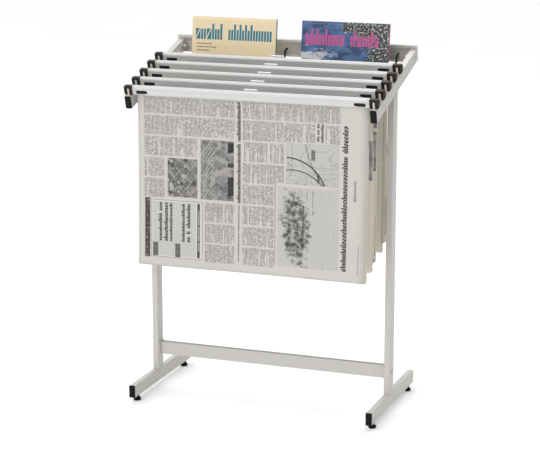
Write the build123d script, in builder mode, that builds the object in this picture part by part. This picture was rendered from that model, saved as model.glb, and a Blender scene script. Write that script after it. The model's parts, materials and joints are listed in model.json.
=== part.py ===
from build123d import *
import math
import os

os.makedirs("parts", exist_ok=True)

# Free-standing rack: two side frames of flat steel tube, each a foot, an upright and a
# sloping arm, joined low down by a crossbar and at the top rear by a channel. Pegs on the
# arms carry clamping newspaper holders; wire cradles on the rear channel carry magazines.
# Origin: on the floor, midway between the side frames and between the feet's two ends.
# +X is the rack's right as a reader faces it, +Y goes to the rear, +Z is up.

# ---------------------------------------------------------------- side frames
WIDTH = 594.0  # over both side frames
FOOT_LENGTH = 345.0  # front to back
FOOT_Z = 13.0  # underside of the feet
TUBE_W = 15.0
TUBE_H = 30.0
TUBE_WALL = 1.5
TUBE_CORNER_R = 2.2
END_CAP_LIP = 2.0  # thickness of the tube end caps in front of the tube ends
END_CAP_PLUG = 5.0  # depth of their plugs inside the tubes
END_CAP_TAPER = 15  # degrees
UPRIGHT_SETBACK = 141.0  # from the feet's front ends to the uprights
ARM_SLOPE = 16.7  # degrees, rising to the rear
ARM_LENGTH = 336.0
ARM_NOSE_SETBACK = 11.3  # from the feet's front ends to the arms' lower front corners
ARM_NOSE_Z = 697.0

# ---------------------------------------------------------------- fasteners
BOLT_R = 3.0
BOLT_HEAD_R = 6.5
BOLT_HEAD_H = 2.6
BOLT_HEAD_ROUND = 2.1
BOLT_END = 1.5  # of the thread, past the nut
NUT_FLATS = 10.0
NUT_H = 5.0
WASHER_R = 10.0
WASHER_T = 1.5
RUNNING_GAP = 0.05  # radial clearance of a shaft in its hole

# ---------------------------------------------------------------- levellers
LEVELLER_INSET = 30.0  # from each end of a foot
GLIDE_R = 8.8
GLIDE_H = 6.0
GLIDE_ROUND = 2.2
LOCK_NUT_Z = 4.0  # underside of the hexagon, inside the glide
LEVELLER_GAP = 0.2  # between the hexagon and the foot
STEM_TOP_Z = 24.0

# ---------------------------------------------------------------- cross members
SHEET = 1.6
CROSSBAR_SETBACK = 10.0  # behind the uprights' front faces
CROSSBAR_DEPTH = 14.0
CROSSBAR_H = 30.0
CROSSBAR_Z = 79.5  # underside
EAR_SETBACK = 2.0  # from the uprights' front faces to the crossbar's ears
CHANNEL_FLANGE = 14.0  # depth of the channel's bottom flange, in front of its web
CHANNEL_H = 38.5  # height of the web along the arms' normal
HEM_DEPTH = 7.0
HEM_H = 7.5
CHANNEL_BOLT_INSET = 17.5  # from the arms' rear ends
EAR_R = 13.0
HOOK_HOLE_R = 2.9
HOOK_HOLE_H = 14.0  # height of the hook holes above the flange's underside

# ---------------------------------------------------------------- newspaper holders
HOLDERS = 5
PEG_INSET = 11.0  # first peg, from the arms' front ends
PITCH = 45.8  # from peg to peg
PEG_R = 2.8
PEG_H = 16.5
PEG_FOOT_R = 3.5
PEG_FOOT_H = 1.0
PEG_SHANK_R = 2.0
RAIL_LENGTH = 560.0
RAIL_SETBACK = 6.0  # rail centre, behind the peg line
RAIL_HALF_DEPTH = 6.0
RAIL_WALL = 1.6
RAIL_TOP = 22.0  # above the arms' top faces
HINGE_H = RAIL_TOP - RAIL_HALF_DEPTH
BEAD_R = 4.3
RAIL_BASE = 1.0  # underside of the rails, above the arms' top faces
HOOD_END = 20.0  # degrees above horizontal where the front rail's hood ends at the rear
LIP_TOP = 2.8  # gripping lip along the front rail's lower edge
LIP_BACK = -1.45
GROOVES = (13.6, 2.1)  # heights of the fine grooves in the front face
GROOVE_SIZE = 0.7
BOX_FRONT = 1.5  # hollow box along the rear rail, behind the paper
BOX_BACK = 8.0
BOX_TOP = 14.5
BOX_WALL = 1.3
BOX_ROOF = 2.2  # extra thickness under the hinge bead
COLLAR_LENGTH = 5.5  # solid end collars of the rear rail
COLLAR_GAP = 0.4
CAP_LENGTH = 20.5
CAP_FRONT = 3.2  # from the peg line forward to the cap's front face
CAP_BACK_CENTRE = 5.0  # centre of the cap's round back, behind the peg line
CAP_NOSE_R = 2.5  # upper and lower edges of its front face
CAP_ROUND = 4.4  # around its outer end
CAP_BASE = 0.3
CAP_PIN_LENGTH = 8.0
CAP_PIN_R = 1.5
FORK_W = 7.6
FORK_H = 17.8
FORK_BACK = 3.9  # from the peg line back to the end of the fork slot
FORK_RIM = 1.3
FORK_GROOVE = 1.2
SLOT_OUTER_X = 270.5  # ends of the latch slot, from the rail's centre
SLOT_INNER_X = 243.5
SLOT_H = 8.0
SLOT_Z = 7.6  # centre of the slot above the arms' top faces
KNOB_LENGTH = 19.0
KNOB_H = 7.5
KNOB_CORNER_R = 1.9
KNOB_PROUD = 1.0
KNOB_GROOVES = 4
KNOB_GROOVE_W = 1.3
KNOB_GROOVE_H = 4.5
KNOB_GROOVE_DEPTH = 0.5
CARRIER_LENGTH = 34.0
CARRIER_H = 9.0
CARRIER_T = 1.1
CARRIER_OVERLAP = 2.5  # past the slot's outer end
KNOB_GAP = 0.4
LATCH_GAP = 0.1
TAB_W = 31.0
TAB_X = 2.0
TAB_T = 1.4
TAB_BASE = 5.0
TAB_TOP = 23.6
TAB_FLANGE = 3.2

# ---------------------------------------------------------------- reading matter
PAPER_WIDTHS = (546.0, 543.0, 540.0, 541.0, 536.0)  # folded pages, front holder to rear
PAPER_DEPTHS = (406.0, 404.0, 406.0, 405.0, 406.0)  # from fold to free edge
PAPER_LEFT_X = -272.8
PAPER_FRONT = -1.2  # faces of the folded stack, from the rail's centre
PAPER_BACK = 1.3
PAPER_FOLD_H = 10.8  # the fold, above the arms' top faces
PAPER_EXIT_H = 0.6  # where the stack leaves the grip and hangs straight down
MAGAZINE_W = 210.0
MAGAZINE_H = 297.0
MAGAZINE_T = 7.0
MAGAZINE_TILT = 7.0  # degrees, top to the rear
MAGAZINE_X = (-132.0, 141.5)
MAGAZINE_TOP_Z = 882.0
MAGAZINE_TOP_SETBACK = 271.0
WIRE_R = 2.4
CROSS_WIRE_R = 1.7  # backrest and the wires under the magazine
WIRE_BEND = 5.0
WIRE_CLEARANCE = 0.3
CRADLE_HALF_W = 109.0
CRADLE_LIP_H = 34.0
CRADLE_BACK = 17.0  # rear bottom corners, behind the magazine's front face
CRADLE_FRONT = -6.0
REST_HALF_W = 92.0
REST_H = 190.0  # height of the backrest wire on the magazine
REST_ROOT = 0.12  # where it leaves the side wires, as a part of their length
SUPPORTS = (1.5, 6.5)  # wires under the magazine, behind its front face
HOOK_REACH = 13.0  # hook in front of the web
HOOK_TAIL = 5.0  # hook behind the web

# ---------------------------------------------------------------- derived places
FRONT_Y = -FOOT_LENGTH / 2
SIDE_X = WIDTH / 2 - TUBE_W / 2  # centre plane of a side frame
INNER_X = WIDTH / 2 - TUBE_W
FOOT_TOP_Z = FOOT_Z + TUBE_H
UPRIGHT_Y = FRONT_Y + UPRIGHT_SETBACK + TUBE_H / 2
SLOPE_SIN = math.sin(math.radians(ARM_SLOPE))
SLOPE_COS = math.cos(math.radians(ARM_SLOPE))
NOSE = Vector(0, FRONT_Y + ARM_NOSE_SETBACK, ARM_NOSE_Z)
ALONG_ARM = Vector(0, SLOPE_COS, SLOPE_SIN)
ARM_NORMAL = Vector(0, -SLOPE_SIN, SLOPE_COS)
X_AXIS = Vector(1, 0, 0)
BOLT_ALONG = ARM_LENGTH - CHANNEL_BOLT_INSET
CROSSBAR_BOLT_Y = FRONT_Y + UPRIGHT_SETBACK + CROSSBAR_SETBACK + CROSSBAR_DEPTH / 2
CROSSBAR_BOLT_Z = CROSSBAR_Z + CROSSBAR_H / 2
SIDES = (("left", -1), ("right", 1))
LEVELLER_YS = (("front", FRONT_Y + LEVELLER_INSET), ("rear", -FRONT_Y - LEVELLER_INSET))


def arm_point(x, along, height):
    """Point given by its place along the arms and its height over their undersides."""
    return NOSE + X_AXIS * x + ALONG_ARM * along + ARM_NORMAL * height


def arm_section(x, along, height):
    """Plane across X: sketch x runs up the arms' slope, sketch y along their normal."""
    return Plane(origin=arm_point(x, along, height), x_dir=ALONG_ARM, z_dir=X_AXIS)


def arm_front(x, along, height):
    """Plane that faces down the arms: sketch x is +X, sketch y the arms' normal."""
    return Plane(origin=arm_point(x, along, height), x_dir=X_AXIS, z_dir=-ALONG_ARM)


def arm_top(x, along, height):
    """Plane parallel to the arms' top faces."""
    return Plane(origin=arm_point(x, along, height), x_dir=X_AXIS, z_dir=ARM_NORMAL)


def peg_along(index):
    return PEG_INSET + index * PITCH


def rail_section(x, index):
    """Section plane of one holder's rails, on the arms' top level at the rail centre."""
    return arm_section(x, peg_along(index) + RAIL_SETBACK, TUBE_H)


def save(builder, name):
    builder.part.label = name
    export_step(builder.part, f"parts/{name}.step")


# ================================================================ side frames
def tube_section(width, height):
    RectangleRounded(width, height, TUBE_CORNER_R)
    RectangleRounded(
        width - 2 * TUBE_WALL,
        height - 2 * TUBE_WALL,
        TUBE_CORNER_R - TUBE_WALL,
        mode=Mode.SUBTRACT,
    )


def make_foot(side, sign):
    front = Plane(
        origin=(sign * SIDE_X, FRONT_Y + END_CAP_LIP, FOOT_Z + TUBE_H / 2),
        x_dir=(-1, 0, 0),
        z_dir=(0, 1, 0),
    )
    with BuildPart() as foot:
        with BuildSketch(front):
            tube_section(TUBE_W, TUBE_H)
        extrude(amount=FOOT_LENGTH - 2 * END_CAP_LIP)
        with BuildSketch(Plane.XY.offset(FOOT_Z)):
            with Locations([(sign * SIDE_X, y) for _, y in LEVELLER_YS]):
                Circle(BOLT_R + RUNNING_GAP)
        extrude(amount=TUBE_WALL, mode=Mode.SUBTRACT)
    save(foot, f"{side}_foot")


def make_upright(side, sign):
    underside = Plane(origin=NOSE, x_dir=X_AXIS, z_dir=ARM_NORMAL)
    outer_face = Plane(
        origin=(sign * WIDTH / 2, CROSSBAR_BOLT_Y, CROSSBAR_BOLT_Z), z_dir=(-sign, 0, 0)
    )
    with BuildPart() as upright:
        with BuildSketch(Plane.XY.offset(FOOT_TOP_Z)):
            with Locations((sign * SIDE_X, UPRIGHT_Y)):
                tube_section(TUBE_W, TUBE_H)
        extrude(amount=ARM_NOSE_Z + TUBE_H)
        split(bisect_by=underside, keep=Keep.BOTTOM)
        with BuildSketch(outer_face):
            Circle(BOLT_R + RUNNING_GAP)
        extrude(amount=TUBE_W, mode=Mode.SUBTRACT)
    save(upright, f"{side}_upright")


def make_arm(side, sign):
    nose_face = Plane(
        origin=arm_point(sign * SIDE_X, END_CAP_LIP, TUBE_H / 2),
        x_dir=-X_AXIS,
        z_dir=ALONG_ARM,
    )
    with BuildPart() as arm:
        with BuildSketch(nose_face):
            tube_section(TUBE_W, TUBE_H)
        extrude(amount=ARM_LENGTH - END_CAP_LIP)
        for index in range(HOLDERS):
            with BuildSketch(arm_top(sign * SIDE_X, peg_along(index), TUBE_H)):
                Circle(PEG_SHANK_R + RUNNING_GAP)
            extrude(amount=-TUBE_WALL, mode=Mode.SUBTRACT)
        with BuildSketch(arm_section(sign * SIDE_X, BOLT_ALONG, TUBE_H / 2)):
            Circle(BOLT_R + RUNNING_GAP)
        extrude(amount=TUBE_W, both=True, mode=Mode.SUBTRACT)
    save(arm, f"{side}_arm")


# ================================================================ tube end caps
def make_end_caps_on(tube_ends, name):
    """Moulded caps: a lip as wide as the tube, and a hollow plug inside it."""
    plug_w = TUBE_W - 2 * TUBE_WALL - 2 * RUNNING_GAP
    plug_h = TUBE_H - 2 * TUBE_WALL - 2 * RUNNING_GAP
    with BuildPart() as caps:
        for tube_end in tube_ends:
            with BuildSketch(tube_end):
                RectangleRounded(TUBE_W, TUBE_H, TUBE_CORNER_R)
            extrude(amount=END_CAP_LIP, taper=END_CAP_TAPER)
            with BuildSketch(tube_end):
                RectangleRounded(plug_w, plug_h, TUBE_CORNER_R - TUBE_WALL)
                Rectangle(plug_w - 2 * TUBE_WALL, plug_h - 2 * TUBE_WALL, mode=Mode.SUBTRACT)
            extrude(amount=-END_CAP_PLUG)
    save(caps, name)


def make_tube_end_caps():
    foot_end_y = FOOT_LENGTH / 2 - END_CAP_LIP
    foot_mid_z = FOOT_Z + TUBE_H / 2
    foot_ends = []
    arm_ends = []
    for _, sign in SIDES:
        arm_ends.append(arm_front(sign * SIDE_X, END_CAP_LIP, TUBE_H / 2))
        for end in (-1, 1):
            centre = (sign * SIDE_X, end * foot_end_y, foot_mid_z)
            foot_ends.append(Plane(origin=centre, x_dir=(1, 0, 0), z_dir=(0, end, 0)))
    make_end_caps_on(foot_ends, "foot_end_caps")
    make_end_caps_on(arm_ends, "arm_end_caps")


# ================================================================ levellers
def hexagon():
    """Nut outline with two flats square to the sketch's x."""
    RegularPolygon(radius=NUT_FLATS / 2, side_count=6, major_radius=False, rotation=30)


def make_leveller(side, sign, end, y):
    with BuildPart() as leveller:
        with BuildSketch():
            with Locations((sign * SIDE_X, y)):
                Circle(GLIDE_R)
        extrude(amount=GLIDE_H)
        fillet(leveller.edges().filter_by(GeomType.CIRCLE).sort_by(Axis.Z)[-1], radius=GLIDE_ROUND)
        chamfer(leveller.edges().filter_by(GeomType.CIRCLE).sort_by(Axis.Z)[0], length=GLIDE_R / 12)
        with BuildSketch(Plane.XY.offset(LOCK_NUT_Z)):
            with Locations((sign * SIDE_X, y)):
                hexagon()
        extrude(amount=FOOT_Z - LEVELLER_GAP - LOCK_NUT_Z)
        with BuildSketch(Plane.XY.offset(GLIDE_H)):
            with Locations((sign * SIDE_X, y)):
                Circle(BOLT_R)
        extrude(amount=STEM_TOP_Z - GLIDE_H)
    save(leveller, f"leveller_{end}_{side}")


def make_leveller_nuts():
    places = [(sign * SIDE_X, y) for _, sign in SIDES for _, y in LEVELLER_YS]
    with BuildPart() as nuts:
        with BuildSketch(Plane.XY.offset(FOOT_Z + TUBE_WALL)):
            with Locations(places):
                hexagon()
                Circle(BOLT_R + RUNNING_GAP, mode=Mode.SUBTRACT)
        extrude(amount=NUT_H)
    save(nuts, "leveller_nuts")


# ================================================================ cross members
def make_lower_crossbar():
    front_y = FRONT_Y + UPRIGHT_SETBACK + CROSSBAR_SETBACK
    ear_depth = TUBE_H - EAR_SETBACK
    span = INNER_X - SHEET
    with BuildPart() as crossbar:
        with BuildSketch(Plane.YZ.offset(-span)):
            with Locations((front_y, CROSSBAR_Z)):
                Rectangle(CROSSBAR_DEPTH, CROSSBAR_H, align=Align.MIN)
            with Locations((front_y + SHEET, CROSSBAR_Z + SHEET)):
                Rectangle(CROSSBAR_DEPTH - 2 * SHEET, CROSSBAR_H, align=Align.MIN, mode=Mode.SUBTRACT)
        extrude(amount=2 * span)
        for start_x in (-INNER_X, span):
            with BuildSketch(Plane.YZ.offset(start_x)):
                with Locations((FRONT_Y + UPRIGHT_SETBACK + EAR_SETBACK, CROSSBAR_Z)):
                    Rectangle(ear_depth, CROSSBAR_H, align=Align.MIN)
                with Locations((CROSSBAR_BOLT_Y, CROSSBAR_BOLT_Z)):
                    Circle(BOLT_R + RUNNING_GAP, mode=Mode.SUBTRACT)
            extrude(amount=SHEET)
    save(crossbar, "lower_crossbar")


def make_rear_channel():
    hem_front = SHEET - HEM_DEPTH
    hook_xs = [x + side * CRADLE_HALF_W for x in MAGAZINE_X for side in (-1, 1)]
    with BuildPart() as channel:
        with BuildSketch(arm_section(0, ARM_LENGTH, 0)):
            Rectangle(SHEET, CHANNEL_H, align=Align.MIN)
            with Locations((hem_front, CHANNEL_H - SHEET)):
                Rectangle(HEM_DEPTH, SHEET, align=Align.MIN)
            with Locations((hem_front, CHANNEL_H - HEM_H)):
                Rectangle(SHEET, HEM_H, align=Align.MIN)
        extrude(amount=WIDTH / 2, both=True)
        with BuildSketch(arm_section(0, ARM_LENGTH, 0)):
            with Locations((-CHANNEL_FLANGE, 0)):
                Rectangle(CHANNEL_FLANGE, SHEET, align=Align.MIN)
        extrude(amount=INNER_X, both=True)
        for start_x in (-INNER_X, INNER_X - SHEET):
            with BuildSketch(arm_section(start_x, BOLT_ALONG, TUBE_H / 2)):
                Circle(EAR_R)
                with Locations((0, -EAR_R)):
                    Rectangle(CHANNEL_BOLT_INSET, 2 * EAR_R, align=Align.MIN)
                with Locations((CHANNEL_BOLT_INSET - CHANNEL_FLANGE, -TUBE_H / 2)):
                    Rectangle(CHANNEL_FLANGE, TUBE_H / 2, align=Align.MIN)
                Circle(BOLT_R + RUNNING_GAP, mode=Mode.SUBTRACT)
            extrude(amount=SHEET)
        for x in hook_xs:
            with BuildSketch(arm_front(x, ARM_LENGTH, HOOK_HOLE_H)):
                Circle(HOOK_HOLE_R)
            extrude(amount=-SHEET, mode=Mode.SUBTRACT)
    save(channel, "rear_channel")


def bolt_faces():
    """Outer faces where the four frame bolts enter, with their normals along X."""
    faces = []
    for _, sign in SIDES:
        channel_at = arm_point(sign * WIDTH / 2, BOLT_ALONG, TUBE_H / 2)
        crossbar_at = Vector(sign * WIDTH / 2, CROSSBAR_BOLT_Y, CROSSBAR_BOLT_Z)
        faces.append((Plane(origin=crossbar_at, x_dir=(0, 1, 0), z_dir=(sign, 0, 0)), 0.0))
        faces.append((Plane(origin=channel_at, x_dir=ALONG_ARM, z_dir=(sign, 0, 0)), WASHER_T))
    return faces


def make_frame_bolts():
    with BuildPart() as bolts:
        for face, washer in bolt_faces():
            with BuildSketch(face):
                Circle(BOLT_HEAD_R)
            head = extrude(amount=BOLT_HEAD_H)
            outer_edge = head.edges().filter_by(GeomType.CIRCLE).sort_by(Axis(face.origin, face.z_dir))
            fillet(outer_edge[-1], radius=BOLT_HEAD_ROUND)
            with BuildSketch(face):
                Circle(BOLT_R)
            extrude(amount=-(TUBE_W + SHEET + washer + NUT_H + BOLT_END))
    save(bolts, "frame_bolts")


def make_frame_nuts():
    with BuildPart() as nuts:
        for face, washer in bolt_faces():
            with BuildSketch(face.offset(-(TUBE_W + SHEET + washer))):
                hexagon()
                Circle(BOLT_R + RUNNING_GAP, mode=Mode.SUBTRACT)
            extrude(amount=-NUT_H)
    save(nuts, "frame_nuts")


def make_ear_washers():
    with BuildPart() as washers:
        for face, washer in bolt_faces():
            if washer:
                with BuildSketch(face.offset(-(TUBE_W + SHEET))):
                    Circle(WASHER_R)
                    Circle(BOLT_R + RUNNING_GAP, mode=Mode.SUBTRACT)
                extrude(amount=-washer)
    save(washers, "ear_washers")


# ================================================================ pegs and holders
def make_holder_pegs():
    with BuildPart() as pegs:
        for _, sign in SIDES:
            for index in range(HOLDERS):
                with BuildSketch(arm_section(sign * SIDE_X, peg_along(index), TUBE_H)):
                    with BuildLine():
                        dome = CenterArc((0, PEG_H - PEG_R), PEG_R, 0, 90)
                        Polyline(
                            dome @ 1,
                            (0, -TUBE_WALL - PEG_FOOT_H),
                            (PEG_FOOT_R, -TUBE_WALL - PEG_FOOT_H),
                            (PEG_FOOT_R, -TUBE_WALL),
                            (PEG_SHANK_R, -TUBE_WALL),
                            (PEG_SHANK_R, 0),
                            (PEG_FOOT_R, 0),
                            (PEG_FOOT_R, PEG_FOOT_H),
                            (PEG_R, PEG_FOOT_H + PEG_FOOT_R - PEG_R),
                            dome @ 0,
                        )
                    make_face()
                revolve(axis=Axis(arm_point(sign * SIDE_X, peg_along(index), 0), ARM_NORMAL))
    save(pegs, "holder_pegs")


def make_rear_rail(index):
    half = RAIL_LENGTH / 2
    box_depth = BOX_BACK - BOX_FRONT
    box_height = BOX_TOP - RAIL_BASE
    with BuildPart() as rail:
        with BuildSketch(rail_section(-half, index)):
            with Locations((0, HINGE_H)):
                Circle(BEAD_R)
            with Locations((BOX_FRONT, RAIL_BASE)):
                Rectangle(box_depth, box_height, align=Align.MIN)
            with Locations((BOX_FRONT + BOX_WALL, RAIL_BASE + BOX_WALL)):
                Rectangle(
                    box_depth - 2 * BOX_WALL,
                    box_height - 2 * BOX_WALL - BOX_ROOF,
                    align=Align.MIN,
                    mode=Mode.SUBTRACT,
                )
        extrude(amount=RAIL_LENGTH)
        for start_x in (-half, half - COLLAR_LENGTH):
            with BuildSketch(rail_section(start_x, index)):
                with Locations((0, HINGE_H)):
                    Circle(RAIL_HALF_DEPTH)
                with Locations((-RAIL_HALF_DEPTH, RAIL_BASE)):
                    Rectangle(2 * RAIL_HALF_DEPTH, HINGE_H - RAIL_BASE, align=Align.MIN)
            extrude(amount=COLLAR_LENGTH)
        for sign in (-1, 1):
            with BuildSketch(rail_section(sign * half, index)):
                with Locations((0, HINGE_H)):
                    Circle(CAP_PIN_R + RUNNING_GAP)
            extrude(amount=-sign * (CAP_PIN_LENGTH + RUNNING_GAP), mode=Mode.SUBTRACT)
    save(rail, f"holder_{index + 1}_rear_rail")


def rail_front_plane(x, index, behind, height):
    """Front-facing plane behind a holder's front face, at a height over the arms' tops."""
    along = peg_along(index) + RAIL_SETBACK - RAIL_HALF_DEPTH + behind
    return arm_front(x, along, TUBE_H + height)


def make_front_rail(index):
    """Clamping rail: a flat front that rolls over the hinge bead as a hood."""
    half = RAIL_LENGTH / 2 - COLLAR_LENGTH - COLLAR_GAP
    outer = RAIL_HALF_DEPTH
    inner = RAIL_HALF_DEPTH - RAIL_WALL
    hood_angle = 180 - HOOD_END
    slot_r = SLOT_H / 2
    with BuildPart() as rail:
        with BuildSketch(rail_section(-half, index)):
            with BuildLine():
                hood_out = CenterArc((0, HINGE_H), outer, 180, -hood_angle)
                hood_in = CenterArc((0, HINGE_H), inner, HOOD_END, hood_angle)
                Line(hood_out @ 1, hood_in @ 0)
                Polyline(
                    hood_in @ 1,
                    (-inner, LIP_TOP),
                    (LIP_BACK, LIP_TOP),
                    (LIP_BACK, RAIL_BASE),
                    (-outer, RAIL_BASE),
                    hood_out @ 0,
                )
            make_face()
            with Locations([(-outer, height) for height in GROOVES]):
                Rectangle(GROOVE_SIZE, GROOVE_SIZE, mode=Mode.SUBTRACT)
        extrude(amount=2 * half)
        for _, sign in SIDES:
            with BuildSketch(rail_front_plane(0, index, 0, SLOT_Z)):
                inner_x = SLOT_INNER_X + slot_r
                with Locations((sign * (inner_x + SLOT_OUTER_X) / 2, 0)):
                    Rectangle(SLOT_OUTER_X - inner_x, SLOT_H)
                with Locations((sign * inner_x, 0)):
                    Circle(slot_r)
            extrude(amount=-RAIL_WALL, mode=Mode.SUBTRACT)
    save(rail, f"holder_{index + 1}_front_rail")


def make_latch(index, side, sign):
    carrier_x = SLOT_OUTER_X + CARRIER_OVERLAP - CARRIER_LENGTH / 2
    knob_x = SLOT_OUTER_X - KNOB_GAP - KNOB_LENGTH / 2
    groove_pitch = KNOB_LENGTH / (KNOB_GROOVES + 1)
    front = rail_front_plane(0, index, -KNOB_PROUD, SLOT_Z)
    with BuildPart() as latch:
        with BuildSketch(rail_front_plane(0, index, RAIL_WALL + LATCH_GAP, SLOT_Z)):
            with Locations((sign * carrier_x, 0)):
                Rectangle(CARRIER_LENGTH, CARRIER_H)
        extrude(amount=-CARRIER_T)
        with BuildSketch(front):
            with Locations((sign * knob_x, 0)):
                RectangleRounded(KNOB_LENGTH, KNOB_H, KNOB_CORNER_R)
        extrude(amount=-(KNOB_PROUD + RAIL_WALL + LATCH_GAP))
        with BuildSketch(front):
            with Locations((sign * knob_x, 0)):
                with GridLocations(groove_pitch, 0, KNOB_GROOVES, 1):
                    Rectangle(KNOB_GROOVE_W, KNOB_GROOVE_H)
        extrude(amount=-KNOB_GROOVE_DEPTH, mode=Mode.SUBTRACT)
    save(latch, f"holder_{index + 1}_latch_{side}")


def fork_outline(x, growth, mode):
    """Arch shape of the fork slot, grown outwards by the given amount."""
    radius = FORK_W / 2
    arch_h = FORK_H - radius
    with Locations((x, arch_h)):
        Circle(radius + growth, mode=mode)
    with Locations((x, arch_h / 2)):
        Rectangle(2 * (radius + growth), arch_h, mode=mode)


def make_end_caps(index):
    """Caps with a flat forked front and a round back, one on each end of the rails."""
    back_r = (RAIL_TOP - CAP_BASE) / 2
    flat_x = RAIL_LENGTH / 2
    front = arm_front(0, peg_along(index) - CAP_FRONT, TUBE_H)
    with BuildPart() as caps:
        for _, sign in SIDES:
            with BuildSketch(arm_section(sign * flat_x, peg_along(index), TUBE_H)) as profile:
                with BuildLine():
                    back = CenterArc((CAP_BACK_CENTRE, CAP_BASE + back_r), back_r, -90, 180)
                    Polyline(back @ 1, (-CAP_FRONT, RAIL_TOP), (-CAP_FRONT, CAP_BASE), back @ 0)
                make_face()
                fillet(profile.vertices().sort_by(Axis.X)[:2], radius=CAP_NOSE_R)
            cap = extrude(amount=sign * CAP_LENGTH)
            outer_face = cap.faces().sort_by(Axis.X)[-1 if sign > 0 else 0]
            fillet(outer_face.edges(), radius=CAP_ROUND)
            with BuildSketch(front):
                fork_outline(sign * SIDE_X, FORK_RIM + FORK_GROOVE, Mode.ADD)
                fork_outline(sign * SIDE_X, FORK_RIM, Mode.SUBTRACT)
            extrude(amount=-FORK_GROOVE, mode=Mode.SUBTRACT)
            with BuildSketch(front):
                fork_outline(sign * SIDE_X, 0, Mode.ADD)
            extrude(amount=-(CAP_FRONT + FORK_BACK), mode=Mode.SUBTRACT)
            with BuildSketch(rail_section(sign * flat_x, index)):
                with Locations((0, HINGE_H)):
                    Circle(CAP_PIN_R)
            extrude(amount=-sign * CAP_PIN_LENGTH)
    save(caps, f"holder_{index + 1}_end_caps")


def make_label_tab(index):
    with BuildPart() as tab:
        with BuildSketch(rail_section(TAB_X - TAB_W / 2, index)):
            with Locations((BOX_BACK, TAB_BASE)):
                Rectangle(TAB_T, TAB_TOP - TAB_BASE, align=Align.MIN)
            with Locations((BOX_BACK + TAB_T - TAB_FLANGE, TAB_TOP - TAB_T)):
                Rectangle(TAB_FLANGE, TAB_T, align=Align.MIN)
        extrude(amount=TAB_W)
    save(tab, f"holder_{index + 1}_label_tab")


# ================================================================ reading matter
def make_newspaper(index):
    """Folded newspaper gripped along its fold; it hangs straight down out of the grip."""
    rail_along = peg_along(index) + RAIL_SETBACK
    fold_front = arm_point(0, rail_along + PAPER_FRONT, TUBE_H + PAPER_FOLD_H)
    fold_back = arm_point(0, rail_along + PAPER_BACK, TUBE_H + PAPER_FOLD_H)
    exit_front = arm_point(0, rail_along + PAPER_FRONT, TUBE_H + PAPER_EXIT_H)
    exit_back = arm_point(0, rail_along + PAPER_BACK, TUBE_H + PAPER_EXIT_H)
    edge_z = exit_front.Z + PAPER_FOLD_H - PAPER_EXIT_H - PAPER_DEPTHS[index]
    with BuildPart() as newspaper:
        with BuildSketch(Plane.YZ.offset(PAPER_LEFT_X)):
            with BuildLine():
                Polyline(
                    (fold_front.Y, fold_front.Z),
                    (fold_back.Y, fold_back.Z),
                    (exit_back.Y, exit_back.Z),
                    (exit_back.Y, edge_z),
                    (exit_front.Y, edge_z),
                    (exit_front.Y, exit_front.Z),
                    close=True,
                )
            make_face()
        extrude(amount=PAPER_WIDTHS[index])
    save(newspaper, f"holder_{index + 1}_newspaper")


def magazine_frame(x):
    """Plane on a magazine's front cover: origin at its bottom edge, y up the cover."""
    tilt = math.radians(MAGAZINE_TILT)
    up = Vector(0, math.sin(tilt), math.cos(tilt))
    forward = Vector(0, -math.cos(tilt), math.sin(tilt))
    top = Vector(x, FRONT_Y + MAGAZINE_TOP_SETBACK, MAGAZINE_TOP_Z)
    return Plane(origin=top - up * MAGAZINE_H, x_dir=X_AXIS, z_dir=forward)


def make_magazine(side, x):
    with BuildPart() as magazine:
        with BuildSketch(magazine_frame(x)):
            Rectangle(MAGAZINE_W, MAGAZINE_H, align=(Align.CENTER, Align.MIN))
        extrude(amount=-MAGAZINE_T)
    save(magazine, f"{side}_magazine")


def make_cradle(side, x):
    """Sprung wire cradle: hooked in the channel's web, it carries one magazine."""
    cover = magazine_frame(x)
    below = -CROSS_WIRE_R - WIRE_CLEARANCE
    rest_back = MAGAZINE_T + CROSS_WIRE_R + WIRE_CLEARANCE

    def on_cover(dx, up, behind):
        return cover.from_local_coords(Vector(dx, up, -behind))

    def side_points(sign):
        hook_x = x + sign * CRADLE_HALF_W
        return [
            arm_point(hook_x, ARM_LENGTH + SHEET + HOOK_TAIL, HOOK_HOLE_H),
            arm_point(hook_x, ARM_LENGTH - HOOK_REACH, HOOK_HOLE_H),
            on_cover(sign * CRADLE_HALF_W, below, CRADLE_BACK),
            on_cover(sign * CRADLE_HALF_W, below, CRADLE_FRONT),
            on_cover(sign * CRADLE_HALF_W, CRADLE_LIP_H, CRADLE_FRONT),
        ]

    left = side_points(-1)
    right = side_points(1)
    left_root = left[1] + (left[2] - left[1]) * REST_ROOT
    right_root = right[1] + (right[2] - right[1]) * REST_ROOT
    rest = [
        left_root,
        on_cover(-REST_HALF_W, REST_H, rest_back),
        on_cover(REST_HALF_W, REST_H, rest_back),
        right_root,
    ]
    with BuildPart() as cradle:
        for points, radius in ((left + right[::-1], WIRE_R), (rest, CROSS_WIRE_R)):
            with BuildLine() as route:
                FilletPolyline(*points, radius=WIRE_BEND)
            with BuildSketch(Plane(origin=route.line @ 0, z_dir=route.line % 0)):
                Circle(radius)
            sweep(path=route.line)
        for behind in SUPPORTS:
            with BuildSketch(Plane(origin=on_cover(0, below, behind), z_dir=X_AXIS)):
                Circle(CROSS_WIRE_R)
            extrude(amount=CRADLE_HALF_W, both=True)
    save(cradle, f"{side}_magazine_cradle")


def make_frame():
    for side, sign in SIDES:
        make_foot(side, sign)
        make_upright(side, sign)
        make_arm(side, sign)
        for end, y in LEVELLER_YS:
            make_leveller(side, sign, end, y)
    make_tube_end_caps()
    make_leveller_nuts()
    make_lower_crossbar()
    make_rear_channel()
    make_frame_bolts()
    make_frame_nuts()
    make_ear_washers()
    make_holder_pegs()


def make_holder(index):
    make_rear_rail(index)
    make_front_rail(index)
    make_end_caps(index)
    make_label_tab(index)
    make_newspaper(index)
    for side, sign in SIDES:
        make_latch(index, side, sign)


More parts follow.
